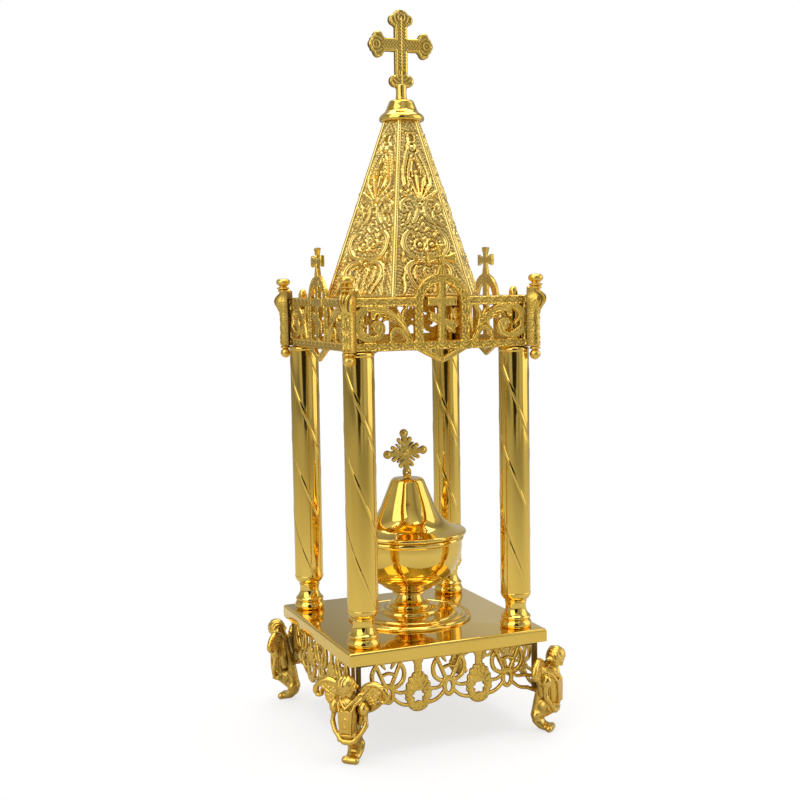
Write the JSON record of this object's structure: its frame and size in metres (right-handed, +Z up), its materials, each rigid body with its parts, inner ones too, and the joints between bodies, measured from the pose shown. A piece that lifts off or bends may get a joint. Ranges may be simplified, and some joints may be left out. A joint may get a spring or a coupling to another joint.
{
  "type": "tabernacle",
  "caption": "Gilded brass altar tabernacle: square tray on cherub feet, twisted columns, pierced gallery, embossed spire with a cross, and a lidded cup in the middle.",
  "frame": {"origin": "centre of the square tray, on the surface that the four feet stand on", "axes": "+Z up, -Y towards the front, +X to the right of the front"},
  "size_m": [0.1896, 0.1896, 0.514],
  "materials": {
    "polished_gilding": "mirror polished, gilded",
    "cast_gilding": "cast, satin gilded, dark in the hollows",
    "embossed_gilding": "embossed sheet, gilded"
  },
  "bodies": {
    "root": {"base_tray": "polished_gilding", "skirt_front": "cast_gilding", "skirt_right": "cast_gilding", "skirt_back": "cast_gilding", "skirt_left": "cast_gilding", "foot_front_right": "cast_gilding", "foot_back_right": "cast_gilding", "foot_back_left": "cast_gilding", "foot_front_left": "cast_gilding", "column_foot_front_right": "polished_gilding", "column_foot_back_right": "polished_gilding", "column_foot_back_left": "polished_gilding", "column_foot_front_left": "polished_gilding", "column_tube_front_right": "polished_gilding", "column_tube_back_right": "polished_gilding", "column_tube_back_left": "polished_gilding", "column_tube_front_left": "polished_gilding", "column_capital_front_right": "polished_gilding", "column_capital_back_right": "polished_gilding", "column_capital_back_left": "polished_gilding", "column_capital_front_left": "polished_gilding", "dome_nut_front_right": "polished_gilding", "dome_nut_back_right": "polished_gilding", "dome_nut_back_left": "polished_gilding", "dome_nut_front_left": "polished_gilding", "gallery_front": "cast_gilding", "gallery_right": "cast_gilding", "gallery_back": "cast_gilding", "gallery_left": "cast_gilding", "corner_post_front_right": "cast_gilding", "corner_post_back_right": "cast_gilding", "corner_post_back_left": "cast_gilding", "corner_post_front_left": "cast_gilding", "roof_deck": "polished_gilding", "spire": "embossed_gilding", "spire_cap": "polished_gilding", "top_cross": "cast_gilding", "cup_foot": "polished_gilding", "cup_bowl": "polished_gilding", "cup_lid": "polished_gilding", "lid_cross": "cast_gilding"}
  },
  "joints": []
}
